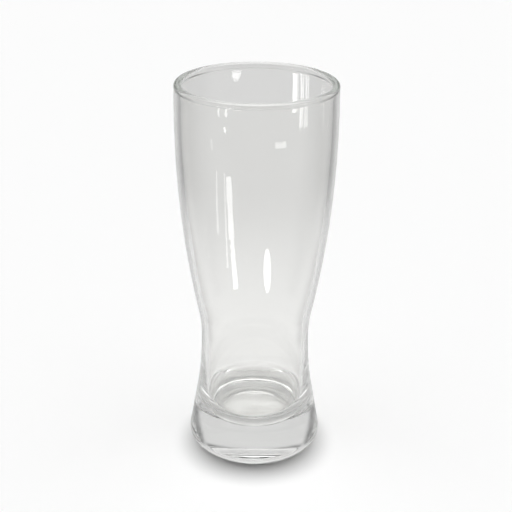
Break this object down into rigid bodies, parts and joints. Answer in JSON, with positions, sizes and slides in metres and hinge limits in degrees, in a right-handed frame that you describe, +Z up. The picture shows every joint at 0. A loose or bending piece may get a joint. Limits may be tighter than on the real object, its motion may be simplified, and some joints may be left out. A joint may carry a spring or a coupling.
{
  "type": "pilsner glass",
  "caption": "Tall clear beer glass with a full belly, a drawn-in waist, a flared foot and a heavy solid base, for serving pilsner.",
  "frame": {"origin": "middle of the foot, on the surface that the glass stands on", "axes": "+Z up along the axis of the glass; X and Y are free, because the glass is round"},
  "size_m": [0.0756, 0.0756, 0.188],
  "materials": {
    "base_glass": "clear pressed soda-lime glass, fire-polished, faint green in the thick foot",
    "bowl_glass": "clear blown soda-lime glass, smooth, with a fire-polished lip"
  },
  "bodies": {
    "root": {"base": "base_glass", "bowl": "bowl_glass"}
  },
  "joints": []
}
